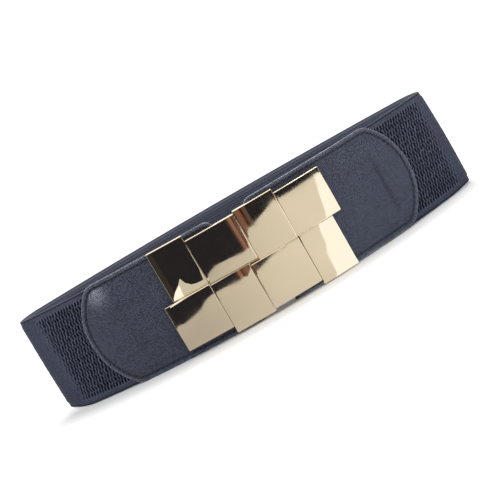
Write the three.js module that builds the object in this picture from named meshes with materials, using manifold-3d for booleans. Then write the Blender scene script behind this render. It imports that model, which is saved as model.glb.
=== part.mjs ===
// A wide stretch belt, closed into a loop and standing on its bottom edge.
// Millimetres. +X runs along the belt to the wearer's left, the buckle faces -Y, +Z is up.
import * as THREE from 'three';
import { mergeVertices } from 'three/addons/utils/BufferGeometryUtils.js';
import Module from 'manifold-3d';

// The loop's plan, measured at the middle of the webbing's thickness. Each half, front and rear,
// is a shallow arc between two fold arcs.
const HALF_LENGTH = 133;
const FRONT = { depth: 41.5, foldRadius: 6 };
const REAR = { depth: 29, foldRadius: 15 };
const ARC_STEP = 2.2 * Math.PI / 180;
const FOLD_STEP = 11 * Math.PI / 180;

// The webbing: thin smooth selvedges above and below a thicker ribbed field, which pulls in at the folds
// and leaves the selvedges standing out. Under the leather it hangs clear of the ground, and from the
// folds round the back it stands on it.
const WEBBING_SECTION = [
  { height: 0, thickness: 1.4, selvedge: true },
  { height: 2.8, thickness: 1.4, selvedge: true },
  { height: 3.6, thickness: 2.2, selvedge: false },
  { height: 56.8, thickness: 2.2, selvedge: false },
  { height: 57.4, thickness: 1.4, selvedge: true },
  { height: 60, thickness: 1.4, selvedge: true },
];
const SELVEDGE_FLARE = 1.1;
const FLARE_REACH = 7;
const WEBBING_LIFT = 1.3;
const LIFT_ENDS = 115;
const GROUND_STARTS = 165;

// The closure is centred a little to the right of the middle of the front.
const CLOSURE_SHIFT = 1.8;

// Leather panels, one on each side of the closure.
const LEATHER = { height: 62.6, thickness: 1.6, chamfer: 0.5, innerEnd: 9.5, innerCorner: 5 };
const LEATHER_END_BULGE = 15.7;
const LEFT_PANEL_LENGTH = 94.7;
const RIGHT_PANEL_LENGTH = 95.5;
const END_STEPS = 9;
const CORNER_STEPS = 4;

// The buckle: eight tiles in two rows, four on each casting. Distances run from the closure's centre.
const ROW_LINE = 31.6;
const COLUMN_LINE = 26.3;
const SEAM_OFFSET = 2.8;
const TALL_TILE = 30.2;
const SHORT_TILE = 27.2;
const NARROW_END = 48.2;
const WIDE_END = 53.8;
const TILE_GAP = 0.15;
const TILE = { thickness: 2.8, bevel: 0.7 };
const TILE_STEP = 4;
const BACKING = { thickness: 1.4, inset: 2.5, overlap: 0.3, bevel: 0.15 };
const POST = { radius: 1.5, headRadius: 3.4, headThickness: 1.1, segments: 12 };
const POST_COLUMNS = [16.5, 39];
const POST_ROWS = [15, 48];

// The hidden catch fills the space between the leather's inner ends.
const HOOK = { width: 16, height: 34, thickness: 1.4, chamfer: 0.3 };

// Space kept between pieces that touch on the real belt.
const GAP = 0.3;

// Depths outward from the middle of the webbing.
const WEBBING_FACE = WEBBING_SECTION[2].thickness / 2;
const LEATHER_BACK = WEBBING_FACE + GAP;
const LEATHER_FACE = LEATHER_BACK + LEATHER.thickness;
const BACKING_BACK = LEATHER_FACE + GAP;
const TILE_BACK = BACKING_BACK + BACKING.thickness - BACKING.overlap;

const wasm = await Module();
wasm.setup();

/** Half of the plan: the radius, half angle and length of the shallow arc and of the fold beside it. */
function planHalf({ depth, foldRadius }) {
  const reach = HALF_LENGTH - foldRadius;
  const rise = depth - foldRadius;
  const centre = (reach * reach - rise * rise) / (2 * rise);
  const radius = centre + depth;
  const halfAngle = Math.atan2(reach, centre);
  const foldAngle = Math.PI / 2 - halfAngle;
  return { reach, centre, radius, foldRadius, halfAngle, foldAngle,
    arcLength: radius * halfAngle, foldLength: foldRadius * foldAngle };
}

const front = planHalf(FRONT);
const rear = planHalf(REAR);
const frontHalfLength = front.arcLength + front.foldLength;
const rearHalfLength = rear.arcLength + rear.foldLength;
const loopLength = 2 * (frontHalfLength + rearHalfLength);

/** Place and outward direction at a distance from the middle of the front arc, for one half of the plan. */
function halfPoint(half, distance) {
  const { reach, centre, radius, foldRadius, halfAngle, arcLength } = half;
  const side = Math.sign(distance) || 1;
  const along = Math.abs(distance);
  const onArc = along <= arcLength;
  const angle = onArc ? along / radius : halfAngle + (along - arcLength) / foldRadius;
  const normal = { x: side * Math.sin(angle), y: -Math.cos(angle) };
  const arcRadius = onArc ? radius : foldRadius;
  const start = onArc ? { x: 0, y: centre } : { x: side * reach, y: 0 };
  return { x: start.x + arcRadius * normal.x, y: start.y + arcRadius * normal.y, normal };
}

/** Place and outward direction on the loop, at a distance from the middle of the front, positive to +X. */
function loopPoint(distance) {
  const wrapped = THREE.MathUtils.euclideanModulo(distance + loopLength / 2, loopLength) - loopLength / 2;
  if (Math.abs(wrapped) <= frontHalfLength) return halfPoint(front, wrapped);
  const fromRear = Math.sign(wrapped) * (loopLength / 2 - Math.abs(wrapped));
  const point = halfPoint(rear, fromRear);
  return { x: point.x, y: -point.y, normal: { x: point.normal.x, y: -point.normal.y } };
}

/** Stations along the loop between two distances, closer together round the folds. */
function stations(start, end) {
  const list = [start];
  let here = start;
  while (here < end) {
    const point = loopPoint(here);
    const tight = Math.abs(point.x) > front.reach;
    const foldRadius = point.y < 0 ? FRONT.foldRadius : REAR.foldRadius;
    const step = tight ? foldRadius * FOLD_STEP : front.radius * ARC_STEP;
    here = Math.min(here + step, end);
    list.push(here);
  }
  if (list.length > 2 && list.at(-1) - list.at(-2) < 1) list.splice(-2, 1);
  return list;
}

/** Triangles that close a loft's first ring. */
function capFaces(ring) {
  const contour = ring.map(({ depth, z }) => new THREE.Vector2(depth, z));
  const faces = THREE.ShapeUtils.triangulateShape(contour, []);
  return THREE.ShapeUtils.isClockWise(contour) ? faces : faces.map(([a, b, c]) => [c, b, a]);
}

/** Closed body through rings of equal length, lists of { distance, depth, z } that start up the back. */
function loft(rings) {
  const count = rings[0].length;
  const positions = rings.flat().flatMap(({ distance, depth, z }) => {
    const { x, y, normal } = loopPoint(distance);
    return [x + depth * normal.x, y + depth * normal.y, z];
  });
  const index = [];
  for (let ring = 0; ring + 1 < rings.length; ring += 1) {
    for (let side = 0; side < count; side += 1) {
      const next = (side + 1) % count;
      const a = ring * count + side;
      const b = ring * count + next;
      index.push(a, b, a + count, b, b + count, a + count);
    }
  }
  const last = (rings.length - 1) * count;
  index.push(...capFaces(rings[0]).flatMap(([a, b, c]) => [a, b, c]));
  index.push(...capFaces(rings.at(-1)).flatMap(([a, b, c]) => [last + c, last + b, last + a]));
  const geometry = new THREE.BufferGeometry();
  geometry.setAttribute('position', new THREE.Float32BufferAttribute(positions, 3));
  geometry.setIndex(index);
  return mergeVertices(geometry, 1e-4);
}

/** A ring across a flat piece, from its bottom to its top, with its outer edges cut back by a chamfer. */
function plateRing(distance, bottom, top, back, face, chamfer, edge = chamfer) {
  const flush = face - chamfer;
  const raised = face - chamfer + edge;
  return [
    { distance, depth: back, z: bottom },
    { distance, depth: back, z: top },
    { distance, depth: flush, z: top },
    { distance, depth: raised, z: top - chamfer },
    { distance, depth: raised, z: bottom + chamfer },
    { distance, depth: flush, z: bottom },
  ];
}

/** Convert a closed geometry to a solid that can be joined and cut. */
function toSolid(geometry) {
  const merged = geometry.clone();
  merged.deleteAttribute('normal');
  merged.deleteAttribute('uv');
  const closed = mergeVertices(merged, 1e-4);
  const mesh = new wasm.Mesh({
    numProp: 3,
    vertProperties: new Float32Array(closed.attributes.position.array),
    triVerts: new Uint32Array(closed.index.array),
  });
  return new wasm.Manifold(mesh);
}

/** Convert a solid back to a geometry with flat faces. */
function toGeometry(solid) {
  const mesh = solid.getMesh();
  const geometry = new THREE.BufferGeometry();
  geometry.setAttribute('position', new THREE.BufferAttribute(new Float32Array(mesh.vertProperties), 3));
  geometry.setIndex(new THREE.BufferAttribute(new Uint32Array(mesh.triVerts), 1));
  return geometry;
}

/** A round bar square to the loop, between two depths. */
function bar(distance, z, radius, back, face) {
  const { x, y, normal } = loopPoint(distance);
  const middle = (back + face) / 2;
  const cylinder = new THREE.CylinderGeometry(radius, radius, face - back, POST.segments);
  const turn = new THREE.Quaternion().setFromUnitVectors(
    new THREE.Vector3(0, 1, 0), new THREE.Vector3(normal.x, normal.y, 0));
  cylinder.applyQuaternion(turn);
  cylinder.translate(x + middle * normal.x, y + middle * normal.y, z);
  return cylinder;
}

/** The places of one casting's posts, as distances along the loop and heights. */
function postPlaces(side) {
  return POST_COLUMNS.flatMap((column) => POST_ROWS.map(
    (row) => ({ distance: CLOSURE_SHIFT + side * column, z: row })));
}

/** Cut the post holes of both castings out of a piece, a gap wider than the posts. */
function drilled(geometry, sides) {
  let solid = toSolid(geometry);
  for (const { distance, z } of sides.flatMap(postPlaces)) {
    const hole = bar(distance, z, POST.radius + GAP, -WEBBING_FACE - 1, LEATHER_FACE + 1);
    solid = solid.subtract(toSolid(hole));
  }
  return toGeometry(solid);
}

/** Height of the webbing's bottom edge above the ground, at a distance along the loop. */
function webbingLift(distance) {
  const fromFront = Math.min(distance, loopLength - distance);
  const drop = THREE.MathUtils.smoothstep(fromFront, LIFT_ENDS, GROUND_STARTS);
  return WEBBING_LIFT * (1 - drop);
}

/** How far the selvedges stand out beyond the ribbed field, at a distance along the loop. */
function selvedgeFlare(distance) {
  const reach = Math.abs(loopPoint(distance).x);
  return SELVEDGE_FLARE * THREE.MathUtils.smoothstep(reach, HALF_LENGTH - FLARE_REACH, HALF_LENGTH);
}

/** One face of the webbing at a distance along the loop, bottom to top: side -1 is inside, 1 outside. */
function webbingFace(distance, side) {
  const lift = webbingLift(distance);
  const flare = selvedgeFlare(distance);
  return WEBBING_SECTION.map(({ height, thickness, selvedge }) => ({
    distance,
    depth: side * thickness / 2 + (selvedge ? flare : 0),
    z: lift + height,
  }));
}

/** The webbing, from under the right panel round the back to under the left panel. */
function makeWebbing() {
  const start = CLOSURE_SHIFT + LEATHER.innerEnd;
  const end = loopLength + CLOSURE_SHIFT - LEATHER.innerEnd;
  const rings = stations(start, end).map(
    (distance) => [...webbingFace(distance, -1), ...webbingFace(distance, 1).reverse()]);
  return drilled(loft(rings), [-1, 1]);
}

/** Bottom and top inset of a leather panel at a distance from its inner end, and the stations used. */
function panelProfile(length) {
  const half = LEATHER.height / 2;
  const endRadius = (LEATHER_END_BULGE ** 2 + half ** 2) / (2 * LEATHER_END_BULGE);
  const openAngle = Math.asin(half / endRadius);
  const corner = LEATHER.innerCorner;
  const rows = [];
  for (let step = 0; step <= CORNER_STEPS; step += 1) {
    const angle = (step / CORNER_STEPS) * Math.PI / 2;
    rows.push({ along: corner * (1 - Math.cos(angle)), inset: corner * (1 - Math.sin(angle)) });
  }
  const straight = length - LEATHER_END_BULGE - corner;
  const count = Math.ceil(straight / (front.radius * ARC_STEP));
  for (let step = 1; step < count; step += 1) {
    rows.push({ along: corner + straight * step / count, inset: 0 });
  }
  for (let step = 0; step <= END_STEPS; step += 1) {
    const angle = openAngle * (1 - 0.86 * step / END_STEPS);
    const along = length - endRadius * (1 - Math.cos(angle));
    rows.push({ along, inset: half - endRadius * Math.sin(angle) });
  }
  return rows;
}

/** A leather panel on one side of the closure: -1 is the left one, 1 the right one. */
function makePanel(side, length) {
  const rings = panelProfile(length).map(({ along, inset }, row, rows) => {
    const distance = CLOSURE_SHIFT + side * (LEATHER.innerEnd + along);
    const atEnd = row === 0 || row === rows.length - 1;
    return plateRing(distance, inset, LEATHER.height - inset,
      LEATHER_BACK, LEATHER_FACE, LEATHER.chamfer, atEnd ? 0 : LEATHER.chamfer);
  });
  if (side < 0) rings.reverse();
  return drilled(loft(rings), [side]);
}

/** A bevelled plate between two distances along the loop, faceted at even stations moved by a shift. */
function makePlate(start, end, bottom, top, back, face, bevel, shift = 0) {
  const rings = [plateRing(start, bottom, top, back, face, bevel, 0)];
  rings.push(plateRing(start + bevel, bottom, top, back, face, bevel));
  const first = Math.ceil((start + 2 * bevel - shift) / TILE_STEP) * TILE_STEP + shift;
  for (let distance = first; distance < end - 2 * bevel; distance += TILE_STEP) {
    rings.push(plateRing(distance, bottom, top, back, face, bevel));
  }
  rings.push(plateRing(end - bevel, bottom, top, back, face, bevel));
  rings.push(plateRing(end, bottom, top, back, face, bevel, 0));
  return loft(rings);
}

/** The tiles of the left casting, before the half turn that gives the right one. */
const LEFT_TILES = [
  { row: 1, start: -NARROW_END, end: -COLUMN_LINE, height: TALL_TILE },
  { row: 1, start: -COLUMN_LINE, end: SEAM_OFFSET, height: SHORT_TILE },
  { row: -1, start: -WIDE_END, end: -COLUMN_LINE, height: SHORT_TILE },
  { row: -1, start: -COLUMN_LINE, end: -SEAM_OFFSET, height: TALL_TILE },
];

/** One casting: four tiles, the plate behind them and four headed posts. -1 is left, 1 is right. */
function makeCasting(side) {
  const tiles = LEFT_TILES.map((tile) => (side < 0 ? tile
    : { row: -tile.row, start: -tile.end, end: -tile.start, height: tile.height }));
  const parts = tiles.map(({ row, start, end, height }) => {
    const edge = ROW_LINE + row * height;
    const line = ROW_LINE + row * TILE_GAP;
    return makePlate(CLOSURE_SHIFT + start + TILE_GAP, CLOSURE_SHIFT + end - TILE_GAP,
      Math.min(edge, line), Math.max(edge, line), TILE_BACK, TILE_BACK + TILE.thickness, TILE.bevel);
  });
  const plate = [SEAM_OFFSET + BACKING.inset, NARROW_END - BACKING.inset].map((reach) => side * reach);
  const plateHalfHeight = SHORT_TILE - BACKING.inset;
  parts.push(makePlate(CLOSURE_SHIFT + Math.min(...plate), CLOSURE_SHIFT + Math.max(...plate),
    ROW_LINE - plateHalfHeight, ROW_LINE + plateHalfHeight,
    BACKING_BACK, BACKING_BACK + BACKING.thickness, BACKING.bevel, TILE_STEP / 2));
  for (const { distance, z } of postPlaces(side)) {
    const headFace = -WEBBING_FACE - GAP;
    const postFace = BACKING_BACK + BACKING.thickness / 2;
    parts.push(bar(distance, z, POST.radius, headFace - POST.headThickness / 2, postFace));
    parts.push(bar(distance, z, POST.headRadius, headFace - POST.headThickness, headFace));
  }
  return toGeometry(parts.map(toSolid).reduce((whole, part) => whole.add(part)));
}

/** The hidden catch, a plain plate behind the seam between the castings. */
function makeHook() {
  const middle = LEATHER.height / 2;
  return makePlate(CLOSURE_SHIFT - HOOK.width / 2, CLOSURE_SHIFT + HOOK.width / 2,
    middle - HOOK.height / 2, middle + HOOK.height / 2,
    BACKING_BACK - GAP - HOOK.thickness, BACKING_BACK - GAP, HOOK.chamfer);
}

const webbingFinish = { color: 0x1d2433, roughness: 0.85, metalness: 0 };
const leatherFinish = { color: 0x222a3b, roughness: 0.55, metalness: 0 };
const goldFinish = { color: 0xd9c6a0, roughness: 0.08, metalness: 1 };

/** A named mesh with its own material. */
function piece(name, geometry, finish) {
  const shown = geometry.toNonIndexed();
  shown.computeVertexNormals();
  const mesh = new THREE.Mesh(shown, new THREE.MeshStandardMaterial(finish));
  mesh.name = name;
  return mesh;
}

const group = new THREE.Group();
group.add(piece('elastic_band', makeWebbing(), webbingFinish));
group.add(piece('leather_panel_left', makePanel(-1, LEFT_PANEL_LENGTH), leatherFinish));
group.add(piece('leather_panel_right', makePanel(1, RIGHT_PANEL_LENGTH), leatherFinish));
group.add(piece('buckle_half_left', makeCasting(-1), goldFinish));
group.add(piece('buckle_half_right', makeCasting(1), goldFinish));
group.add(piece('clasp_hook', makeHook(), goldFinish));

// The origin is the bottom centre of the whole belt's box.
const box = new THREE.Box3().setFromObject(group);
const centre = box.getCenter(new THREE.Vector3());
group.position.set(-centre.x, -centre.y, -box.min.z);
group.updateMatrixWorld(true);

export default group;
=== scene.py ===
"""A wide stretch belt with an interlocking tile buckle, closed and standing on its bottom edge."""
import logging
import math
from dataclasses import dataclass, field
from enum import Enum

import bpy
from mathutils import Matrix, Vector, noise


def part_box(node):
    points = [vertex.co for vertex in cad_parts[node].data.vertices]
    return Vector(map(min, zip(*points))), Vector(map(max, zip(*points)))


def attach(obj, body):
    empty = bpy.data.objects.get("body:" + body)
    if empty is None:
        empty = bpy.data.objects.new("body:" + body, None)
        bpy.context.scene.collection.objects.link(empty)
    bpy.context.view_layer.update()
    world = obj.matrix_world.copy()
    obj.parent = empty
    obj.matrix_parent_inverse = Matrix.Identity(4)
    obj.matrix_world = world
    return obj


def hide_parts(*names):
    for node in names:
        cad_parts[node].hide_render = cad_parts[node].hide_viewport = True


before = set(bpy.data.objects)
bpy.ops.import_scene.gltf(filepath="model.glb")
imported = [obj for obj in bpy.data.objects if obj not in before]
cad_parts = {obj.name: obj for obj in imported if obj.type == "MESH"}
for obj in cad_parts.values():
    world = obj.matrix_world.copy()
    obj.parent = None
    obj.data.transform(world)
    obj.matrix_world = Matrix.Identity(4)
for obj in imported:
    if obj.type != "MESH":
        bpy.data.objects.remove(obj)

Material = bpy.types.Material
Piece = bpy.types.Object
Pair = tuple[float, float]

log = logging.getLogger("belt")
MM = 0.001
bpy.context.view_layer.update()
# A wave texture repeats every pi / 10 units at a scale of 1.
WAVE_LENGTH = 0.314
# A noise texture mostly keeps to this part of its range.
NOISE_SPAN = (0.3, 0.7)


class Side(Enum):
    """The two sides of the closure, as the sign of X."""

    LEFT = -1
    RIGHT = 1


def linear(hex_colour: str) -> tuple[float, float, float, float]:
    """Turn an sRGB hex colour to linear red, green, blue and alpha.

    Args:
        hex_colour: A colour such as "#d3c3a8".

    Returns:
        The linear colour with an alpha of 1.
    """
    channels = [int(hex_colour[i:i + 2], 16) / 255 for i in (1, 3, 5)]
    return (*(c / 12.92 if c <= 0.04045 else ((c + 0.055) / 1.055) ** 2.4 for c in channels), 1.0)


def smoothstep(value: float, low: float, high: float) -> float:
    """Rise smoothly from 0 at low to 1 at high.

    Args:
        value: The place to read.
        low: Where the rise starts.
        high: Where the rise ends.

    Returns:
        The height of the rise.
    """
    share = min(1.0, max(0.0, (value - low) / (high - low)))
    return share * share * (3 - 2 * share)


def add_node(tree: bpy.types.NodeTree, kind: str, inputs: dict | tuple = (),
             **settings) -> bpy.types.Node:
    """Add one node with its settings, values and links.

    Args:
        tree: The node tree that gets the node.
        kind: The node's type name.
        inputs: Values, or sockets to link from, by the input's name or number, or in order.
        **settings: Attributes of the node.

    Returns:
        The new node.
    """
    node = tree.nodes.new(kind)
    for name, value in settings.items():
        setattr(node, name, value)
    for key, value in inputs.items() if isinstance(inputs, dict) else enumerate(inputs):
        if isinstance(value, bpy.types.NodeSocket):
            tree.links.new(value, node.inputs[key])
        else:
            node.inputs[key].default_value = value
    return node


def new_material(name: str) -> tuple[Material, bpy.types.NodeTree]:
    """Start a material with an empty tree.

    Args:
        name: The material's name.

    Returns:
        The material and its tree.
    """
    material = bpy.data.materials.new(name)
    material.use_nodes = True
    material.node_tree.nodes.clear()
    return material, material.node_tree


@dataclass(frozen=True)
class StretchWebbing:
    """Woven polyester and rubber webbing: matt yarn, pulled into short ribs, with painted shade in the
    grooves between them.
    """

    ridge: str = "#4a4f62"
    # Painted shade: the colour darkens towards this near-black in the grooves, over the selvedges with more
    # in their thin line, and at the folds.
    groove: str = "#04050c"
    groove_shade_span: Pair = (0.1, 0.7)
    yarn_pitch: float = 0.5
    yarn_depth: float = 0.12
    fuzz_per_mm: float = 0.9
    fuzz_tone: Pair = (0.72, 1.28)
    patch_per_mm: float = 0.05
    patch_tone: Pair = (0.9, 1.1)
    roughness: float = 0.85

    def material(self) -> Material:
        """Dress the ribbed side. The yarns are drawn at 0.5 mm, coarser than real, so that they show."""
        material, tree = new_material("stretch_webbing_woven")
        uv = add_node(tree, "ShaderNodeUVMap", uv_map="cloth").outputs["UV"]
        sunk = add_node(tree, "ShaderNodeAttribute", attribute_name="groove").outputs["Fac"]
        depth = add_node(tree, "ShaderNodeMapRange", (sunk, *self.groove_shade_span)).outputs[0]
        fuzz = add_node(tree, "ShaderNodeTexNoise", {
            "Vector": uv, "Scale": self.fuzz_per_mm / MM, "Detail": 3.0}).outputs["Fac"]
        patch = add_node(tree, "ShaderNodeTexNoise", {
            "Vector": uv, "Scale": self.patch_per_mm / MM, "Detail": 2.0}).outputs["Fac"]
        yarn = add_node(tree, "ShaderNodeTexWave", {
            "Vector": uv, "Scale": WAVE_LENGTH / (self.yarn_pitch * MM), "Distortion": 1.2,
            "Detail": 1.0, "Detail Scale": 2.0}, bands_direction="Y").outputs["Fac"]
        # Painted shade: darker towards the groove colour where the groove attribute is high.
        shade = add_node(tree, "ShaderNodeMix", {
            "Factor": depth, "A": linear(self.ridge), "B": linear(self.groove)}, data_type="RGBA")
        blotch = add_node(tree, "ShaderNodeMapRange", (patch, *NOISE_SPAN, *self.patch_tone)).outputs[0]
        speck = add_node(tree, "ShaderNodeMapRange", (fuzz, *NOISE_SPAN, *self.fuzz_tone)).outputs[0]
        tone = add_node(tree, "ShaderNodeMath", (blotch, speck), operation="MULTIPLY").outputs[0]
        colour = add_node(tree, "ShaderNodeVectorMath", {
            0: shade.outputs["Result"], "Scale": tone}, operation="SCALE").outputs[0]
        relief = add_node(tree, "ShaderNodeMath", (yarn, fuzz), operation="ADD").outputs[0]
        bump = add_node(tree, "ShaderNodeBump", {
            "Height": relief, "Strength": 0.5, "Distance": self.yarn_depth * MM}).outputs[0]
        shader = add_node(tree, "ShaderNodeBsdfPrincipled", {
            "Base Color": colour, "Roughness": self.roughness, "Normal": bump,
            "Sheen Weight": 0.08, "Sheen Roughness": 0.4, "Specular IOR Level": 0.2})
        add_node(tree, "ShaderNodeOutputMaterial", {"Surface": shader.outputs[0]})
        return material


@dataclass(frozen=True)
class WebbingLining:
    """The same webbing's inner side: covered rubber cords lie side by side along it, flat and matt, with
    painted shade in the valleys between them.
    """

    cord: str = "#4c505f"
    # Painted shade in the valleys between the cords.
    valley_shade: str = "#3a3d4a"
    cord_pitch: float = 1.6
    cord_depth: float = 0.25
    fuzz_per_mm: float = 0.8
    fuzz_share: float = 0.3
    roughness: float = 0.85

    def material(self) -> Material:
        """Dress the inner side, with cords at their real 1.6 mm."""
        material, tree = new_material("stretch_webbing_inner")
        uv = add_node(tree, "ShaderNodeUVMap", uv_map="cloth").outputs["UV"]
        cords = add_node(tree, "ShaderNodeTexWave", {
            "Vector": uv, "Scale": WAVE_LENGTH / (self.cord_pitch * MM), "Distortion": 0.4, "Detail": 0.0},
            bands_direction="Y").outputs["Fac"]
        fuzz = add_node(tree, "ShaderNodeTexNoise", {
            "Vector": uv, "Scale": self.fuzz_per_mm / MM, "Detail": 3.0}).outputs["Fac"]
        # Painted shade: darker in the valleys, lighter on the cords.
        shade = add_node(tree, "ShaderNodeMix", {
            "Factor": cords, "A": linear(self.valley_shade), "B": linear(self.cord)}, data_type="RGBA")
        relief = add_node(tree, "ShaderNodeMath", (fuzz, self.fuzz_share, cords), operation="MULTIPLY_ADD")
        bump = add_node(tree, "ShaderNodeBump", {
            "Height": relief.outputs[0], "Strength": 0.6, "Distance": self.cord_depth * MM}).outputs[0]
        shader = add_node(tree, "ShaderNodeBsdfPrincipled", {
            "Base Color": shade.outputs["Result"], "Roughness": self.roughness, "Normal": bump,
            "Sheen Weight": 0.2, "Sheen Roughness": 0.5, "Specular IOR Level": 0.3})
        add_node(tree, "ShaderNodeOutputMaterial", {"Surface": shader.outputs[0]})
        return material


@dataclass(frozen=True)
class PebbledLeather:
    """Embossed leather: fine soft pebbles with a satin finish and painted light and shade on them, paler
    along the turned edge from wear and a painted highlight, with painted shade in the stitch groove and
    crease.
    """

    face: str = "#3b4154"
    # Paler colour for the worn edge and for the painted highlights on the rim and by the upper shoulder.
    pale_wear_and_highlight: str = "#8d93a3"
    # Painted shade: the colour of the stitch groove and the crease.
    crease: str = "#0b0d13"
    pebble: float = 0.95
    pebble_depth: float = 0.45
    pebble_span: Pair = (0.1, 0.6)
    # Painted light and shade on the pebbles: paler on their tops, darker in their valleys.
    pebble_light_and_shade: Pair = (1.62, 0.2)
    pores_per_mm: float = 2.2
    pore_share: float = 0.25
    cloud_per_mm: float = 0.06
    cloud_tone: Pair = (0.93, 1.07)
    roughness: Pair = (0.42, 0.6)

    def material(self) -> Material:
        """Dress a panel. The pebbles are 0.95 mm across."""
        material, tree = new_material("leather_embossed_navy")
        uv = add_node(tree, "ShaderNodeUVMap", uv_map="cloth").outputs["UV"]
        edge, groove = (add_node(tree, "ShaderNodeAttribute", attribute_name=name).outputs["Fac"]
                        for name in ("edge", "groove"))
        pebbles = add_node(tree, "ShaderNodeTexVoronoi", {
            "Vector": uv, "Scale": 1 / (self.pebble * MM), "Smoothness": 0.5, "Randomness": 0.35},
            feature="SMOOTH_F1").outputs["Distance"]
        pores = add_node(tree, "ShaderNodeTexNoise", {
            "Vector": uv, "Scale": self.pores_per_mm / MM, "Detail": 2.0}).outputs["Fac"]
        cloud = add_node(tree, "ShaderNodeTexNoise", {
            "Vector": uv, "Scale": self.cloud_per_mm / MM, "Detail": 3.0}).outputs["Fac"]
        height = add_node(tree, "ShaderNodeMath", (
            pores, -self.pore_share, pebbles), operation="MULTIPLY_ADD")
        bump = add_node(tree, "ShaderNodeBump", {
            "Height": height.outputs[0], "Strength": 1.0, "Distance": self.pebble_depth * MM}, invert=True)
        # Paler along the edge, partly wear and partly painted highlight, and on the painted highlight by the
        # upper shoulder.
        wear_and_highlight = add_node(tree, "ShaderNodeMix", {
            "Factor": edge, "A": linear(self.face), "B": linear(self.pale_wear_and_highlight)}, data_type="RGBA")
        # Painted shade: darker towards the crease colour in the stitch groove and the crease.
        dark = add_node(tree, "ShaderNodeMix", {
            "Factor": groove, "A": wear_and_highlight.outputs["Result"], "B": linear(self.crease)}, data_type="RGBA")
        blotch = add_node(tree, "ShaderNodeMapRange", (cloud, *NOISE_SPAN, *self.cloud_tone)).outputs[0]
        # Painted light and shade: the pebbles' tops paler, their valleys darker.
        valley_shade = add_node(tree, "ShaderNodeMapRange", (
            pebbles, *self.pebble_span, *self.pebble_light_and_shade)).outputs[0]
        tone = add_node(tree, "ShaderNodeMath", (blotch, valley_shade), operation="MULTIPLY").outputs[0]
        colour = add_node(tree, "ShaderNodeVectorMath", {
            0: dark.outputs["Result"], "Scale": tone}, operation="SCALE").outputs[0]
        gloss = add_node(tree, "ShaderNodeMapRange", (pores, 0.0, 1.0, *self.roughness)).outputs[0]
        shader = add_node(tree, "ShaderNodeBsdfPrincipled", {
            "Base Color": colour, "Roughness": gloss, "Normal": bump.outputs[0], "Specular IOR Level": 0.35})
        add_node(tree, "ShaderNodeOutputMaterial", {"Surface": shader.outputs[0]})
        return material


@dataclass(frozen=True)
class GoldPlating:
    """Pale gold electroplate on a hand-polished zinc casting: a mirror with a faint wave in it."""

    colour: str = "#e2d1b3"
    wave: float = 14.0
    wave_depth: float = 0.4
    haze_per_mm: float = 0.12
    haze_span: Pair = (0.35, 0.75)
    roughness: Pair = (0.025, 0.07)

    def material(self) -> Material:
        """Dress the buckle. The polishing leaves waves about 14 mm long and a haze in places."""
        material, tree = new_material("gold_plate_polished")
        place = add_node(tree, "ShaderNodeTexCoord").outputs["Object"]
        wave = add_node(tree, "ShaderNodeTexNoise", {
            "Vector": place, "Scale": 1 / (self.wave * MM), "Detail": 0.0}).outputs["Fac"]
        haze = add_node(tree, "ShaderNodeTexNoise", {
            "Vector": place, "Scale": self.haze_per_mm / MM, "Detail": 4.0}).outputs["Fac"]
        bump = add_node(tree, "ShaderNodeBump", {
            "Height": wave, "Strength": 0.08, "Distance": self.wave_depth * MM}).outputs[0]
        gloss = add_node(tree, "ShaderNodeMapRange", (haze, *self.haze_span, *self.roughness)).outputs[0]
        shader = add_node(tree, "ShaderNodeBsdfPrincipled", {
            "Base Color": linear(self.colour), "Metallic": 1.0, "Roughness": gloss, "Normal": bump})
        add_node(tree, "ShaderNodeOutputMaterial", {"Surface": shader.outputs[0]})
        return material


@dataclass(frozen=True)
class BondedThread:
    """Three-ply bonded nylon thread: smooth, twisted, with a soft shine."""

    colour: str = "#2b2f3d"
    twist: float = 0.45
    twist_depth: float = 0.08
    roughness: float = 0.5

    def material(self) -> Material:
        """Dress the stitches. The plies' twist is drawn at 0.45 mm, coarser than real, so that it shows."""
        material, tree = new_material("thread_bonded_nylon")
        place = add_node(tree, "ShaderNodeTexCoord").outputs["Object"]
        twist = add_node(tree, "ShaderNodeTexWave", {
            "Vector": place, "Scale": WAVE_LENGTH / (self.twist * MM), "Distortion": 0.5},
            bands_direction="DIAGONAL").outputs["Fac"]
        bump = add_node(tree, "ShaderNodeBump", {
            "Height": twist, "Strength": 0.6, "Distance": self.twist_depth * MM}).outputs[0]
        shader = add_node(tree, "ShaderNodeBsdfPrincipled", {
            "Base Color": linear(self.colour), "Roughness": self.roughness, "Normal": bump})
        add_node(tree, "ShaderNodeOutputMaterial", {"Surface": shader.outputs[0]})
        return material


@dataclass(frozen=True)
class PlainCard:
    """A studio card that glows evenly in one colour."""

    name: str
    colour: str
    strength: float = 1.0

    def material(self) -> Material:
        """Dress the card."""
        material, tree = new_material(self.name)
        glow = add_node(tree, "ShaderNodeEmission", {"Color": linear(self.colour), "Strength": self.strength})
        add_node(tree, "ShaderNodeOutputMaterial", {"Surface": glow.outputs[0]})
        return material


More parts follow.
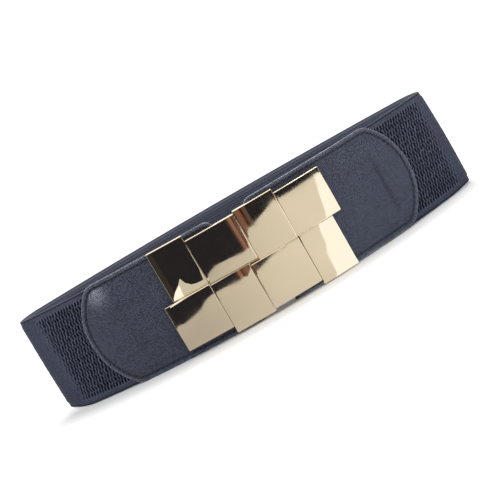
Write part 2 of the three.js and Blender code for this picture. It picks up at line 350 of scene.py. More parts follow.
@dataclass(frozen=True)
class TableSheen:
    """The table as the tiles mirror it: paler to the right, and on the left darker near the belt. In mm."""

    colour: str = "#ffffff"
    width: Pair = (-70.0, 80.0)
    left_to_right: Pair = (0.6, 0.86)
    near_width: Pair = (-50.0, 20.0)
    near_share: Pair = (0.94, 1.15)
    depth: Pair = (-90.0, -200.0)
    far_share: float = 1.1

    def material(self) -> Material:
        """Dress the sheen card."""
        material, tree = new_material("sheen_grey")
        place = add_node(tree, "ShaderNodeTexCoord").outputs["Object"]
        axes = add_node(tree, "ShaderNodeSeparateXYZ", (place,)).outputs
        width, near_width, depth = ([reach * MM for reach in span]
                                    for span in (self.width, self.near_width, self.depth))
        across = add_node(tree, "ShaderNodeMapRange", (axes["X"], *width, *self.left_to_right)).outputs[0]
        near = add_node(tree, "ShaderNodeMapRange", (axes["X"], *near_width, *self.near_share)).outputs[0]
        away = add_node(tree, "ShaderNodeMapRange", (axes["Y"], *depth, near, self.far_share)).outputs[0]
        glow = add_node(tree, "ShaderNodeMath", (across, away), operation="MULTIPLY").outputs[0]
        shine = add_node(tree, "ShaderNodeEmission", {"Color": linear(self.colour), "Strength": glow})
        add_node(tree, "ShaderNodeOutputMaterial", {"Surface": shine.outputs[0]})
        return material


@dataclass(frozen=True)
class FloorPaint:
    """A matt white table top."""

    colour: str = "#efefef"

    def material(self) -> Material:
        """Dress the floor."""
        material, tree = new_material("table_white")
        shader = add_node(tree, "ShaderNodeBsdfDiffuse", {"Color": linear(self.colour)})
        add_node(tree, "ShaderNodeOutputMaterial", {"Surface": shader.outputs[0]})
        return material


@dataclass
class PlanHalf:
    """Half of the loop from above, in mm: a shallow arc between two fold arcs."""

    depth: float
    fold_radius: float
    half_length: float = 133.0

    def __post_init__(self) -> None:
        """Work out the arcs from the depth, the fold and the length."""
        self.reach = self.half_length - self.fold_radius
        rise = self.depth - self.fold_radius
        self.centre = (self.reach ** 2 - rise ** 2) / (2 * rise)
        self.radius = self.centre + self.depth
        self.half_angle = math.atan2(self.reach, self.centre)
        self.arc_length = self.radius * self.half_angle
        self.half_span = self.arc_length + self.fold_radius * (math.pi / 2 - self.half_angle)

    def point(self, distance: float) -> tuple[float, float, float, float]:
        """Find a place on this half.

        Args:
            distance: Length from the arc's middle, positive to +X.

        Returns:
            X and Y of the place, then X and Y of its outward direction, with this half facing -Y.
        """
        side, along = math.copysign(1, distance), abs(distance)
        if along <= self.arc_length:
            angle, radius, start = along / self.radius, self.radius, (0.0, self.centre)
        else:
            angle = self.half_angle + (along - self.arc_length) / self.fold_radius
            radius, start = self.fold_radius, (side * self.reach, 0.0)
        nx, ny = side * math.sin(angle), -math.cos(angle)
        return start[0] + radius * nx, start[1] + radius * ny, nx, ny


@dataclass
class BeltPlan:
    """The whole loop from above, in mm, and what stands where along it."""

    front: PlanHalf = field(default_factory=lambda: PlanHalf(depth=41.5, fold_radius=6.0))
    rear: PlanHalf = field(default_factory=lambda: PlanHalf(depth=29.0, fold_radius=15.0))
    webbing_half: float = 1.1
    leather_back: float = 1.4
    leather_face: float = 3.0
    closure_shift: float = 1.8
    inner_end: float = 9.5
    webbing_top: float = 61.3
    lift: float = 0.15
    fold_lift: Pair = (3.6, 1.6)
    fold_width: float = 10.0
    level_span: Pair = (115.0, 165.0)

    def __post_init__(self) -> None:
        """Set the loop's length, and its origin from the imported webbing's box."""
        self.length = 2 * (self.front.half_span + self.rear.half_span)
        self.origin_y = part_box("elastic_band")[1][1] / MM - self.rear.depth - self.webbing_half

    def point(self, distance: float) -> tuple[float, float, float, float]:
        """Find a place on the loop.

        Args:
            distance: Length from the middle of the front, positive to +X and then round the back.

        Returns:
            X and Y of the place, then X and Y of its outward direction.
        """
        wrapped = (distance + self.length / 2) % self.length - self.length / 2
        if abs(wrapped) <= self.front.half_span:
            x, y, nx, ny = self.front.point(wrapped)
        else:
            x, y, nx, ny = self.rear.point(math.copysign(self.length / 2 - abs(wrapped), wrapped))
            y, ny = -y, -ny
        return x, y + self.origin_y, nx, ny

    def place(self, distance: float, depth: float, z: float) -> Vector:
        """Find a place in metres from length along the loop, depth outward and height, in mm."""
        x, y, nx, ny = self.point(distance)
        return Vector((x + depth * nx, y + depth * ny, z)) * MM

    def foot(self, distance: float) -> float:
        """Give the height of the webbing's bottom edge above the ground, a little more at the folds."""
        way = distance % self.length
        from_front = min(way, self.length - way)
        fold = math.exp(-((from_front - self.front.half_span) / self.fold_width) ** 2)
        level = self.lift * (1 - smoothstep(from_front, *self.level_span))
        return level + self.fold_lift[0 if way > self.length / 2 else 1] * fold


def deselect() -> None:
    """Leave nothing selected, so that an operator acts on the next piece alone."""
    if bpy.context.object and bpy.context.object.mode != "OBJECT":
        bpy.ops.object.mode_set(mode="OBJECT")
    bpy.ops.object.select_all(action="DESELECT")


def make_active(piece: Piece) -> None:
    """Select one piece and make it active."""
    deselect()
    piece.select_set(True)
    bpy.context.view_layer.objects.active = piece


def mesh_piece(name: str, points: list, faces: list) -> Piece:
    """Make an object from points and faces.

    Args:
        name: The object's name.
        points: Places in metres.
        faces: Lists of point numbers, facing outwards.

    Returns:
        The object, linked to the scene and smoothly shaded.
    """
    mesh = bpy.data.meshes.new(name)
    mesh.from_pydata(points, [], faces)
    mesh.validate()
    piece = bpy.data.objects.new(name, mesh)
    bpy.context.scene.collection.objects.link(piece)
    mesh.polygons.foreach_set("use_smooth", [True] * len(mesh.polygons))
    return piece


def set_uv(piece: Piece, spots: list[Pair]) -> None:
    """Give a piece a UV map named cloth, in metres, from one spot for each point.

    Args:
        piece: The object to map.
        spots: Place along the cloth and across it, for each point.
    """
    mesh = piece.data
    layer = mesh.uv_layers.new(name="cloth")
    corners = [0] * len(mesh.loops)
    mesh.loops.foreach_get("vertex_index", corners)
    layer.data.foreach_set("uv", [value for corner in corners for value in spots[corner]])


def set_attribute(piece: Piece, name: str, values: list[float]) -> None:
    """Store one number for each point, for the material to read."""
    piece.data.attributes.new(name, "FLOAT", "POINT").data.foreach_set("value", values)


def hand_over(piece: Piece, slot: str, *materials: Material) -> None:
    """Dress a finished piece, put it on its body and report it.

    Args:
        piece: The finished object.
        slot: The name of a material slot; not used.
        *materials: The piece's materials, in the order of its slots.
    """
    piece.data.materials.clear()
    for material in materials:
        piece.data.materials.append(material)
    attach(piece, "root")
    log.info("%s: %d faces", piece.name, len(piece.data.polygons))


@dataclass
class Webbing:
    """The stretch webbing, from under the right panel round the back to under the left one. In mm."""

    plan: BeltPlan
    height: float = 60.0
    edge_half: float = 0.7
    rib_pitch: float = 2.08
    rib_rows: int = 17
    rib_depth: float = 1.05
    rib_bottom: float = 3.4
    rib_top: float = 57.0
    ribs_start: float = 88.0
    ribs_end_before: float = 84.0
    front_reach: float = 168.0
    hidden_step: float = 4.0
    front_samples: int = 5
    rear_samples: int = 3
    samples_up_rib: int = 5
    groove_half: float = 0.37
    groove_reach: float = 0.58
    groove_curve: Pair = (2.5, 0.6)
    groove_taper: float = 0.3
    slant: float = -0.1
    inner_rows: int = 16
    sway_reach: float = 7.0
    lean: Pair = (0.6, 1.0)
    smooth_fold: Pair = (15.5, 10.5)
    smooth_reach: float = 8.0
    smooth_share: float = 0.75
    smooth_shade: float = 0.5
    bulge: float = 0.7
    line: float = 0.95
    line_width: float = 0.2
    line_depth: float = 0.32
    line_shade: float = 0.4
    edge_shade: float = 0.33
    edge_curve: float = 0.45
    edge_least: float = 0.35
    thickening: Pair = (2.4, 4.0)
    hidden_drop: float = 0.1
    end_rows: float = 0.4
    end_share: float = 0.35
    end_drop: float = 0.12
    wander: float = 0.16
    wander_pace: Pair = (0.9, 0.7)
    zigzag: float = 0.1
    unevenness: float = 0.25
    unevenness_pace: float = 0.5
    unevenness_seed: float = 7.0
    deepest: float = 1.15
    selvedge_rows: tuple[float, ...] = (0.0, 0.12, 0.4, 0.65, 0.8, 0.95, 1.1, 1.25, 1.6, 2.3, 2.9)

    def stations(self) -> list[Pair]:
        """List the columns: length along the loop, and place in ribs, or -1 where leather hides it."""
        plan = self.plan
        start = plan.closure_shift + plan.inner_end
        end = plan.length + plan.closure_shift - plan.inner_end
        ribs_end = plan.length - self.ribs_end_before
        ribs = round((ribs_end - self.ribs_start) / self.rib_pitch)
        pitch = (ribs_end - self.ribs_start) / ribs
        rows = [(d, -1.0) for d in self.spread(start, self.ribs_start)]
        for rib in range(ribs):
            begin = self.ribs_start + rib * pitch
            rear = self.front_reach < begin < plan.length - self.front_reach
            count = self.rear_samples if rear else self.front_samples
            rows += [(begin + pitch * step / count, rib + step / count) for step in range(count)]
        rows += [(ribs_end, float(ribs))]
        rows += [(d, -1.0) for d in self.spread(ribs_end, end)[1:]] + [(end, -1.0)]
        return rows

    def spread(self, low: float, high: float) -> list[float]:
        """List even distances from low to just before high."""
        count = math.ceil((high - low) / self.hidden_step)
        return [low + (high - low) * step / count for step in range(count)]

    def groove(self, rib: float, row: float) -> float:
        """Give how deep in a groove a spot lies: grooves are upright lenses that stand in bricks.

        Args:
            rib: Place along the loop, in ribs.
            row: Height, in rows.

        Returns:
            0 on a ridge to 1 at the bottom of a groove.
        """
        number = math.floor(row)
        across = row - number - 0.5
        total = 0.0
        for step in (0, 1 if across > 0 else -1):
            phase = 0.5 * ((number + step) % 2)
            reach = min(1.0, abs(across - step) / self.groove_reach)
            half = self.groove_half * math.sqrt(1 - reach ** 2) + 1e-6
            away = abs((rib + phase + self.slant * (across - step) + 0.5) % 1 - 0.5)
            flat, steep = self.groove_curve
            across_it = max(0.0, 1 - (away / half) ** flat) ** steep
            total = max(total, across_it * (1 - self.groove_taper * reach ** 2))
        return total

    def outer_heights(self) -> list[Pair]:
        """List the outer face's rows from bottom to top: height, and place in rib rows or -1."""
        count = self.rib_rows * self.samples_up_rib
        span = self.rib_top - self.rib_bottom
        ribbed = [(self.rib_bottom + span * i / count, self.rib_rows * i / count) for i in range(count + 1)]
        below = [(z, -1.0) for z in self.selvedge_rows]
        above = [(self.height - z, -1.0) for z in reversed(self.selvedge_rows)]
        return below + ribbed + above

    def edge_round(self, z: float) -> float:
        """Give the selvedge's half thickness at a height, rounded at the edge, with a thin line in it."""
        from_edge = min(z, self.height - z)
        share = min(1.0, from_edge / self.edge_curve)
        curve = self.edge_least + (1 - self.edge_least) * math.sqrt(1 - (1 - share) ** 2)
        return self.edge_half * curve - self.line_depth * self.thin_line(z)

    def thin_line(self, z: float) -> float:
        """Give how deep in the selvedge's thin line a height lies, from 0 to 1."""
        return math.exp(-((min(z, self.height - z) - self.line) / self.line_width) ** 2)

    def sway(self, x: float, z: float) -> float:
        """Give how far out the webbing stands from its plan: it leans at the folds, and bulges at one.

        Args:
            x: Place from fold to fold.
            z: Height above the webbing's foot.

        Returns:
            A depth to add, outwards.
        """
        half_length = self.plan.front.half_length
        fold = smoothstep(abs(x), half_length - self.sway_reach, half_length)
        tip = 2 * z / self.height - 1
        if x > 0:
            shape = self.bulge * math.sin(math.pi * z / self.height) - self.lean[1] * tip
        else:
            shape = -self.lean[0] * max(0.0, tip)
        return fold * shape

    def inner_depth(self, z: float) -> float:
        """Give the depth of the inner face at a height above the webbing's foot."""
        from_edge = min(z, self.height - z)
        thicker = (self.plan.webbing_half - self.edge_half) * smoothstep(from_edge, *self.thickening)
        return -self.edge_round(z) - thicker

    def outer_face(self, rib: float, row: float, z: float, depth_share: float) -> Pair:
        """Give the outer face's depth at a spot, and how much painted shade the spot gets.

        Args:
            rib: Place along the loop in ribs, or -1 where leather hides it.
            row: Height in rows of ribs, or -1 on a selvedge.
            z: Height above the webbing's foot.
            depth_share: How deep the grooves are there, from 0 to 1.

        Returns:
            The depth in mm, then the share of painted shade: 0 on a ridge to 1 at the bottom of a groove, or
            a set share on a selvedge, with more in its thin line.
        """
        half = self.plan.webbing_half
        # On a selvedge the colour is darkened by a set share, with painted shade added in its thin line.
        if row < 0:
            return self.edge_round(z), self.edge_shade + self.line_shade * self.thin_line(z)
        if rib < 0:
            return half - self.hidden_drop, 0.0
        (along, up), pace = self.wander_pace, self.unevenness_pace
        wander = self.wander * noise.noise(Vector((rib * along, row * up, 0.0)))
        zigzag = self.zigzag * (abs((row / 2) % 1 - 0.5) * 4 - 1)
        tall = 1 + self.unevenness * noise.noise(Vector((rib * pace, row * pace, self.unevenness_seed)))
        ends = smoothstep(min(row, self.rib_rows - row), 0.0, self.end_rows)
        sunk = self.groove(rib + wander + zigzag, min(row, self.rib_rows - 1e-6))
        sunk *= (self.end_share + (1 - self.end_share) * ends) * depth_share
        return half - self.end_drop * (1 - ends) - self.rib_depth * min(self.deepest, tall) * sunk, sunk

    def build(self, outside: Material, inside: Material) -> Piece:
        """Make the webbing as one closed sheet with its ribs as real relief.

        Args:
            outside: The ribbed side's material.
            inside: The inner side's material.

        Returns:
            The finished piece.
        """
        plan, rows, stations = self.plan, self.outer_heights(), self.stations()
        inner = [self.height * (1 - i / self.inner_rows) for i in range(self.inner_rows + 1)]
        points, spots, grooves = [], [], []
        for distance, rib in stations:
            x, y, nx, ny = plan.point(distance)
            foot = plan.foot(distance)
            stretch = (plan.webbing_top - foot) / self.height
            smooth_from = plan.front.half_length - self.smooth_fold[x > 0]
            faded = self.smooth_share * smoothstep(abs(x), smooth_from, smooth_from + self.smooth_reach)
            column = [(z, *self.outer_face(rib, row, z, 1 - faded)) for z, row in rows]
            # Painted shade at the folds, darker by a share of how far their grooves are smoothed away.
            column = [(z, depth, max(sunk, self.smooth_shade * faded)) for z, depth, sunk in column]
            column += [(z, self.inner_depth(z), 0.0) for z in inner]
            for z, depth, sunk in column:
                out = depth + self.sway(x, z)
                points.append(((x + out * nx) * MM, (y + out * ny) * MM, (foot + z * stretch) * MM))
                spots.append((distance * MM, z * MM))
                grooves.append(sunk)
        ring, outer = len(rows) + len(inner), len(rows)
        faces = []
        for column in range(len(stations) - 1):
            base = column * ring
            for row in range(ring):
                after = (row + 1) % ring
                faces.append((base + row, base + ring + row, base + ring + after, base + after))
        last = (len(stations) - 1) * ring
        faces.append(tuple(range(ring)))
        faces.append(tuple(last + row for row in reversed(range(ring))))
        piece = mesh_piece("webbing_ribbed", points, faces)
        set_uv(piece, spots)
        set_attribute(piece, "groove", grooves)
        hand_over(piece, "webbing", outside, inside)
        lining = [int(i % ring >= outer - 1) for i in range(ring * (len(stations) - 1))]
        piece.data.polygons.foreach_set("material_index", lining + [0, 0])
        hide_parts("elastic_band")
        return piece


@dataclass
class LeatherPanel:
    """One leather panel with a D-shaped outer end, a raised rim and a stitched groove. In mm."""

    plan: BeltPlan
    webbing: Webbing
    side: Side
    length: float
    crease: float
    crease_depth: float
    swell: float = 0.0
    foot: float = 0.0
    top: float = 62.6
    bulge: float = 15.7
    corner: float = 5.0
    shoulder: float = 9.0
    stitch_line: float = 2.7
    stitch_pitch: float = 3.5
    stitch_length: float = 2.7
    stitch_overlap: float = 1.12
    thread: float = 0.3
    thread_sunk: Pair = (0.5, 0.05)
    thread_margin: float = 0.4
    rim_curve: float = 0.6
    # The rim's line and band are paled, partly wear and partly painted highlight.
    rim_wear_and_highlight: Pair = (0.8, 0.12)
    rim_line: Pair = (0.1, 0.9)
    rim_band: Pair = (1.5, 2.2)
    sewn_depth: float = 0.6
    sewn_width: float = 0.36
    sewn_shade_width: float = 0.45
    level_drop: float = 0.22
    level_span: Pair = (-0.2, 0.3)
    cushion: float = 0.2
    cushion_span: Pair = (0.2, 4.0)
    field_span: Pair = (2.6, 6.0)
    ripple: float = 0.16
    ripple_drop: float = 0.05
    ripples_per_mm: float = 0.06
    crease_width: float = 1.1
    crease_foot: Pair = (6.0, 18.0)
    crease_head: Pair = (36.0, 52.0)
    crease_shade: float = 1.3
    # The swelling is real relief, and also carries a painted highlight.
    swell_place: Pair = (18.5, 5.0)
    swell_size: tuple[float, float, float] = (5.5, 6.5, 4.5)
    swell_span: Pair = (2.9, 4.6)
    # Where the painted highlight fades in from the rim.
    highlight_span: Pair = (2.9, 4.0)
    back_curve: Pair = (0.3, 0.5)
    column_step: float = 1.3
    row_step: float = 1.8
    fine_steps: tuple[float, ...] = (0.0, 0.08, 0.2, 0.4, 0.7, 1.1, 1.6, 2.05, 2.4, 2.7, 3.0, 3.35, 3.8, 4.5)

    def __post_init__(self) -> None:
        """Work out the outer end's arc and the round shoulders where it meets the long edges."""
        self.height = self.top - self.foot
        self.half = self.height / 2
        self.end_radius = (self.bulge ** 2 + self.half ** 2) / (2 * self.bulge)
        self.end_centre = self.length - self.end_radius
        self.shoulder_up = self.half - self.shoulder
        reach = self.end_radius - self.shoulder
        self.shoulder_along = self.end_centre + math.sqrt(reach ** 2 - self.shoulder_up ** 2)

    def distance(self, along: float) -> float:
        """Turn a length from the panel's inner end into one along the loop."""
        return self.plan.closure_shift + self.side.value * (self.plan.inner_end + along)

    def edge_distance(self, along: float, z: float) -> float:
        """Give how far a spot lies inside the panel's outline.

        Args:
            along: Length from the inner end.
            z: Height above the panel's bottom edge.

        Returns:
            The shortest way to the outline.
        """
        up = abs(z - self.half)
        box = up - (self.half - self.corner)
        if along < self.corner and box > 0:
            return max(0.0, self.corner - math.hypot(self.corner - along, box))
        nearest = min(self.half - up, along)
        if along > self.shoulder_along:
            slope = self.shoulder_up / (self.shoulder_along - self.end_centre)
            if up > self.shoulder_up + slope * (along - self.shoulder_along):
                bend = math.hypot(along - self.shoulder_along, up - self.shoulder_up)
                return max(0.0, self.shoulder - bend)
        if along > self.end_centre:
            nearest = min(nearest, self.end_radius - math.hypot(along - self.end_centre, up))
        return max(0.0, nearest)

    def row_ends(self, z: float, inset: float) -> Pair:
        """Give where a row at a height crosses the outline, or a line inside it.

        Args:
            z: Height above the panel's bottom edge.
            inset: How far inside the outline the line runs.

        Returns:
            The crossings' lengths from the inner end.
        """
        up = abs(z - self.half)
        inside = min(inset, self.half - up)
        box = max(0.0, up - (self.half - self.corner))
        corner = self.corner - inside
        start = self.corner - math.sqrt(max(0.0, corner ** 2 - box ** 2))
        radius = self.end_radius - inside
        if up > self.shoulder_up * radius / (self.end_radius - self.shoulder):
            small = self.shoulder - inside
            end = self.shoulder_along + math.sqrt(max(0.0, small ** 2 - (up - self.shoulder_up) ** 2))
        else:
            end = self.end_centre + math.sqrt(radius ** 2 - up ** 2)
        return start + (inset - inside), end - (inset - inside)

    def relief(self, inside: float, along: float, z: float) -> float:
        """Give the front face's height over its plain level at a spot.

        Args:
            inside: How far the spot lies inside the outline.
            along: Length from the inner end.
            z: Height above the panel's bottom edge.

        Returns:
            A depth to add, mostly negative.
        """
        turned = -self.rim_curve * (1 - math.sqrt(1 - (1 - min(1.0, inside / self.rim_curve)) ** 2))
        past = inside - self.stitch_line
        sewn = -self.sewn_depth * math.exp(-(past / self.sewn_width) ** 2)
        level = -self.level_drop * smoothstep(past, *self.level_span)
        cushion = self.cushion * smoothstep(past, *self.cushion_span)
        bend = -self.crease_depth * self.creased(along, z)
        wave = Vector((along * self.ripples_per_mm, z * self.ripples_per_mm, float(self.side.value)))
        ripple = self.ripple * noise.noise(wave) - self.ripple_drop
        proud = self.swell * self.swollen(along, z) * smoothstep(inside, *self.swell_span)
        field_share = smoothstep(inside, *self.field_span)
        return turned + sewn + level + cushion + proud + (bend + ripple) * field_share

    def creased(self, along: float, z: float) -> float:
        """Give how far into the soft upright crease near the outer end a spot lies, from 0 to 1."""
        line = math.exp(-((along - self.crease) / self.crease_width) ** 2)
        return line * smoothstep(z, *self.crease_foot) * (1 - smoothstep(z, *self.crease_head))

    def swollen(self, along: float, z: float) -> float:
        """Give how far into the swelling by the upper shoulder a spot lies, from 0 to 1."""
        back, down = self.swell_place
        width, below, above = self.swell_size
        up = z - self.height + down
        tall = below if up < 0 else above
        return math.exp(-((along - self.length + back) / width) ** 2 - (up / tall) ** 2)

    def shades(self, inside: float, along: float, z: float) -> Pair:
        """Give how pale a spot of the front face is, from edge wear and painted highlight, and how much
        painted shade it gets in the stitch groove and crease.

        Args:
            inside: How far the spot lies inside the outline.
            along: Length from the inner end.
            z: Height above the panel's bottom edge.

        Returns:
            Two shares from 0 to 1.
        """
        # Paler along the edge: partly wear, partly painted highlight where the turned edge catches the light.
        line, band = self.rim_wear_and_highlight
        rim = max(line * (1 - smoothstep(inside, *self.rim_line)),
                  band * (1 - smoothstep(inside, *self.rim_band)))
        # Painted highlight on the swelling by the upper shoulder.
        wear_and_highlight = self.swell * self.swollen(along, z) * smoothstep(inside, *self.highlight_span)
        # Painted shade in the stitch groove, and by crease_shade in the crease.
        sewn = math.exp(-((inside - self.stitch_line) / self.sewn_shade_width) ** 2)
        return max(rim, wear_and_highlight), max(sewn, self.crease_shade * self.crease_depth * self.creased(along, z))

    def rows(self) -> list[float]:
        """List the rows' heights, close together along both long edges."""
        reach = self.fine_steps[-1]
        count = math.ceil((self.height - 2 * reach) / self.row_step)
        middle = [reach + (self.height - 2 * reach) * i / count for i in range(1, count)]
        return list(self.fine_steps) + middle + [self.height - f for f in reversed(self.fine_steps)]

    def columns(self, z: float) -> list[float]:
        """List the places along a row, close together at both ends, where they follow the outline."""
        ends = [self.row_ends(z, inset) for inset in self.fine_steps]
        first, last = ends[-1]
        count = math.ceil((self.length - 2 * self.fine_steps[-1]) / self.column_step)
        middle = [first + (last - first) * i / count for i in range(1, count)]
        return [e[0] for e in ends] + middle + [e[1] for e in reversed(ends)]

    def build(self, leather: Material) -> Piece:
        """Make the panel as one closed sheet.

        Args:
            leather: The panel's material.

        Returns:
            The finished piece.
        """
        plan, heights = self.plan, self.rows()
        points, spots, edges, grooves = [], [], [], []
        for face in (True, False):
            for z in heights:
                for along in self.columns(z):
                    inside = self.edge_distance(along, z)
                    if face:
                        depth = plan.leather_face + self.relief(inside, along, z)
                        edge, groove = self.shades(inside, along, z)
                    else:
                        curl, reach = self.back_curve
                        depth = plan.leather_back + curl * (1 - smoothstep(inside, 0.0, reach))
                        edge, groove = 0.0, 0.0
                    points.append(plan.place(self.distance(along), depth, z + self.foot))
                    spots.append((along * MM, z * MM))
                    edges.append(edge)
                    grooves.append(groove)
        columns = len(points) // (2 * len(heights))
        name = self.side.name.lower()
        piece = mesh_piece(f"panel_{name}_leather", points, self.faces(columns, len(heights)))
        set_uv(piece, spots)
        set_attribute(piece, "edge", edges)
        set_attribute(piece, "groove", grooves)
        hand_over(piece, "leather", leather)
        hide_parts(f"leather_panel_{name}")
        return piece

    def declare(self, panel: Piece, seam: Piece) -> None:
        """Do nothing with the finished panel and its stitches.

        Args:
            panel: The finished panel; not used.
            seam: Its stitches; not used.
        """

    def faces(self, columns: int, rows: int) -> list[tuple[int, ...]]:
        """List the faces of the front, the back and the wall between them.

        Args:
            columns: Points along each row.
            rows: Rows of points on each side.

        Returns:
            The faces, turned outwards for this side of the closure.
        """
        back = columns * rows
        faces = []
        for row in range(rows - 1):
            for column in range(columns - 1):
                a = row * columns + column
                faces.append((a, a + 1, a + columns + 1, a + columns))
                faces.append((back + a, back + a + columns, back + a + columns + 1, back + a + 1))
        rim = list(range(columns))
        rim += [row * columns + columns - 1 for row in range(1, rows)]
        rim += [(rows - 1) * columns + column for column in range(columns - 2, -1, -1)]
        rim += [row * columns for row in range(rows - 2, 0, -1)]
        for here, there in zip(rim, rim[1:] + rim[:1]):
            faces.append((there, here, back + here, back + there))
        return faces if self.side is Side.RIGHT else [tuple(reversed(f)) for f in faces]

    def seam(self) -> list[Pair]:
        """List the seam's corners and curves as spots along and up the panel, an even inset all round."""
        inset, steps, end_steps = self.stitch_line, 8, 40
        small, large, bend = self.corner - inset, self.end_radius - inset, self.shoulder - inset
        opening = math.atan2(self.shoulder_up, self.shoulder_along - self.end_centre)
        spots = []
        for i in range(steps + 1):
            angle = math.pi / 2 * i / steps
            spots.append((self.corner - small * math.cos(angle), self.corner - small * math.sin(angle)))
        for i in range(steps + 1):
            angle = -math.pi / 2 + (math.pi / 2 - opening) * i / steps
            spots.append((self.shoulder_along + bend * math.cos(angle),
                          self.half - self.shoulder_up + bend * math.sin(angle)))
        low = len(spots)
        for i in range(1, end_steps):
            angle = opening * (2 * i / end_steps - 1)
            spots.append((self.end_centre + large * math.cos(angle), self.half + large * math.sin(angle)))
        return spots + [(a, self.height - z) for a, z in reversed(spots[:low])]

    def stitches(self, thread: Material) -> Piece:
        """Make the stitches on the leather and, through the webbing, on the inner side.

        Args:
            thread: The thread's material.

        Returns:
            The finished piece.
        """
        deselect()
        bpy.ops.mesh.primitive_uv_sphere_add(segments=8, ring_count=6, radius=1.0)
        pattern = bpy.context.object
        shape = [v.co.copy() for v in pattern.data.vertices]
        polygons = [tuple(p.vertices) for p in pattern.data.polygons]
        bpy.data.objects.remove(pattern)
        spots = self.seam()
        spots.append(spots[0])
        lengths = [math.dist(a, b) for a, b in zip(spots, spots[1:])]
        count = round(sum(lengths) / self.stitch_pitch)
        pitch = sum(lengths) / count
        radius = self.thread * MM
        points, faces = [], []
        for number in range(count):
            ends = [self.walk(spots, lengths, (number + 0.5) * pitch + half * self.stitch_length / 2)
                    for half in (-1, 1)]
            height = (ends[0][1] + ends[1][1]) / 2 + self.foot - self.plan.lift
            height = min(self.webbing.height - self.thread_margin, max(self.thread_margin, height))
            front = self.plan.leather_face - self.thread_sunk[0]
            back = self.webbing.inner_depth(height) - self.thread_sunk[1]
            for depth in (front, back):
                a, b = (self.plan.place(self.distance(along), depth, z + self.foot) for along, z in ends)
                axis = b - a
                turn = Vector((0, 0, 1)).rotation_difference(axis)
                first = len(points)
                for v in shape:
                    local = Vector((v.x * radius, v.y * radius, v.z * axis.length * self.stitch_overlap / 2))
                    points.append((a + b) / 2 + turn @ local)
                faces += [tuple(first + i for i in polygon) for polygon in polygons]
        piece = mesh_piece(f"panel_{self.side.name.lower()}_stitches", points, faces)
        hand_over(piece, "webbing", thread)
        return piece

    @staticmethod
    def walk(spots: list[Pair], lengths: list[float], way: float) -> Pair:
        """Find the spot a given way along a line of spots.

        Args:
            spots: The line's corners.
            lengths: The length of each stretch.
            way: How far to go.

        Returns:
            The spot reached.
        """
        for start, end, length in zip(spots, spots[1:], lengths):
            if way <= length:
                share = way / length
                return (start[0] + (end[0] - start[0]) * share, start[1] + (end[1] - start[1]) * share)
            way -= length
        return spots[-1]


@dataclass(frozen=True)
class Tile:
    """One tile, in mm from the closure's centre and the line between the rows, its turns in degrees."""

    row: int
    start: float
    end: float
    height: float
    lean: float
    yaw: float
    rise: float
    shift: float

    def turned(self, lean: float, rise: float, shift: float) -> "Tile":
        """Give the same tile on the right casting, after half a turn about the line of sight.

        Args:
            lean: How far its top tips back there, in degrees.
            rise: How much thicker than plain it is there.
            shift: How far up it stands there.

        Returns:
            The turned tile.
        """
        return Tile(-self.row, -self.end, -self.start, self.height, lean, -self.yaw, rise, shift)


